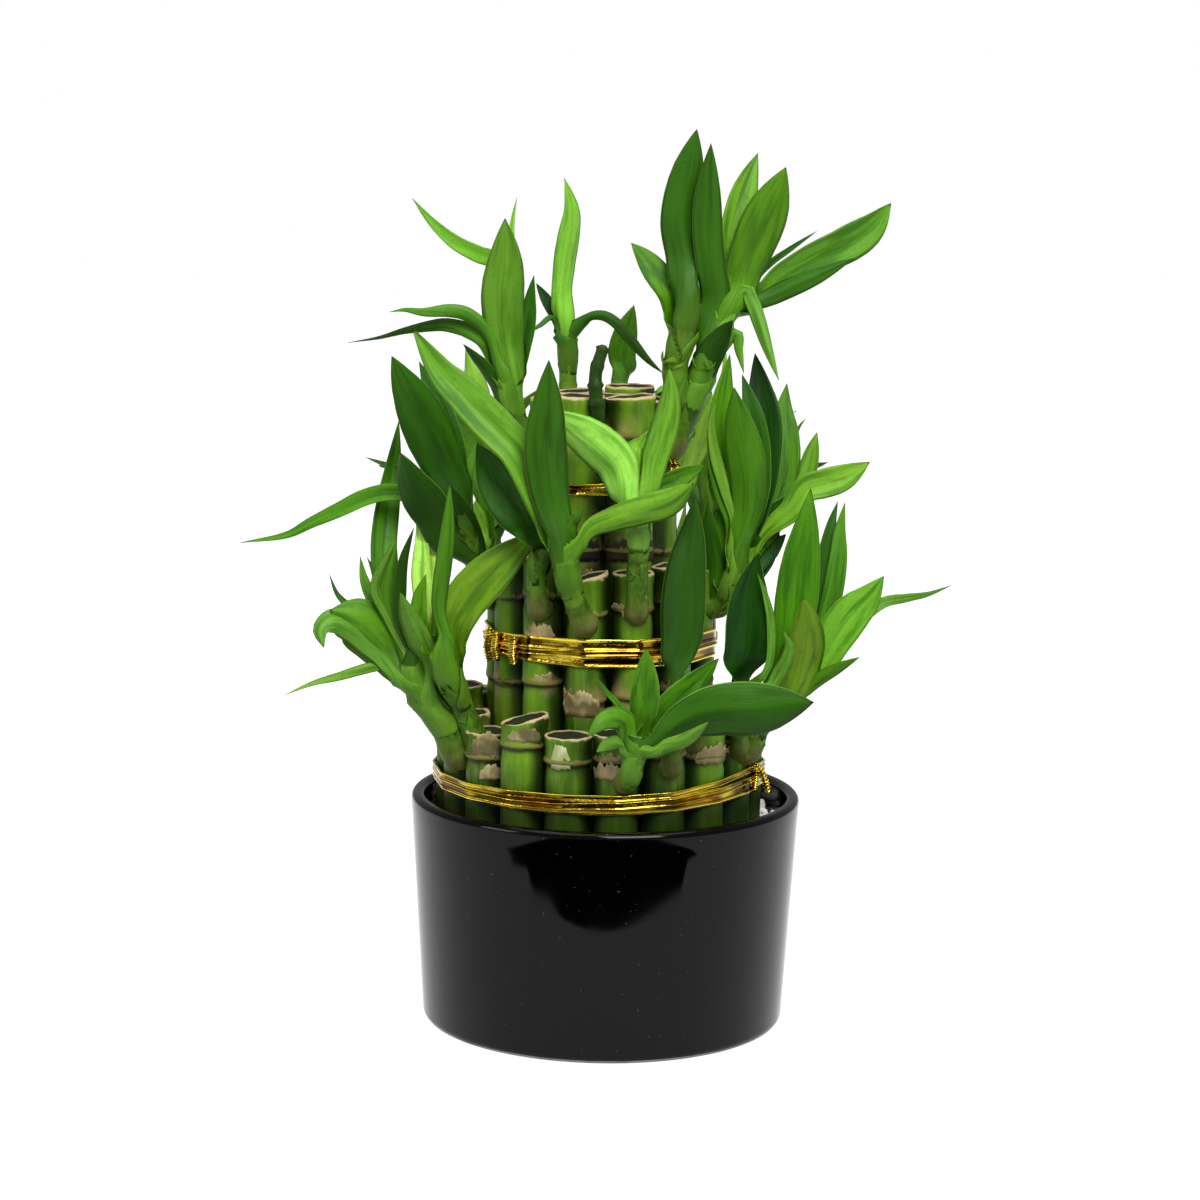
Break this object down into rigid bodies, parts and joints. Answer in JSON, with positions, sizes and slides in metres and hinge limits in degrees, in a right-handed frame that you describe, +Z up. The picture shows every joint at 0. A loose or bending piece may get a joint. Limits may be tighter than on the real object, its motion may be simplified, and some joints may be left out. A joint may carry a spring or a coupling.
{
  "type": "potted lucky bamboo",
  "caption": "Tiered lucky bamboo: tied bundles of green canes with leafy shoots, standing in white gravel in a round black glazed pot.",
  "frame": {"origin": "middle of the pot's foot, on the surface that the pot stands on", "axes": "+Z up, front towards -Y, +X to the right seen from the front"},
  "size_m": [0.2335, 0.1761, 0.2971],
  "materials": {
    "glaze": "gloss black glaze, bare pale clay on the foot ring",
    "gravel": "small white pebbles, dry",
    "cane": "smooth green living cane, satin, with tan joint rings and dark cut tops",
    "foil": "bright gold foil wire",
    "leaf": "living green leaf, satin to glossy"
  },
  "bodies": {
    "root": {"pot": "glaze", "gravel_bed": "gravel", "cane_upper_1": "cane", "cane_upper_2": "cane", "cane_upper_3": "cane", "cane_upper_4": "cane", "cane_upper_5": "cane", "cane_upper_6": "cane", "cane_upper_7": "cane", "cane_middle_1": "cane", "cane_middle_2": "cane", "cane_middle_3": "cane", "cane_middle_4": "cane", "cane_middle_5": "cane", "cane_middle_6": "cane", "cane_middle_7": "cane", "cane_middle_8": "cane", "cane_middle_9": "cane", "cane_middle_10": "cane", "cane_middle_11": "cane", "cane_middle_12": "cane", "cane_middle_13": "cane", "cane_lower_1": "cane", "cane_lower_2": "cane", "cane_lower_3": "cane", "cane_lower_4": "cane", "cane_lower_5": "cane", "cane_lower_6": "cane", "cane_lower_7": "cane", "cane_lower_8": "cane", "cane_lower_9": "cane", "cane_lower_10": "cane", "cane_lower_11": "cane", "cane_lower_12": "cane", "cane_lower_13": "cane", "cane_lower_14": "cane", "cane_lower_15": "cane", "cane_lower_16": "cane", "cane_lower_17": "cane", "cane_lower_18": "cane", "cane_lower_19": "cane", "tie_lower": "foil", "tie_middle": "foil", "tie_upper": "foil", "shoot_upper_left": "leaf", "shoot_upper_centre": "leaf", "shoot_upper_right": "leaf", "shoot_upper_back": "leaf", "shoot_front": "leaf", "shoot_front_left": "leaf", "shoot_front_right": "leaf", "shoot_left": "leaf", "shoot_low_left": "leaf", "shoot_right": "leaf", "shoot_low_right_front": "leaf", "shoot_low_right": "leaf", "shoot_low_front": "leaf", "shoot_middle_back_right": "leaf", "shoot_middle_back_left": "leaf", "shoot_low_back": "leaf"}
  },
  "joints": []
}
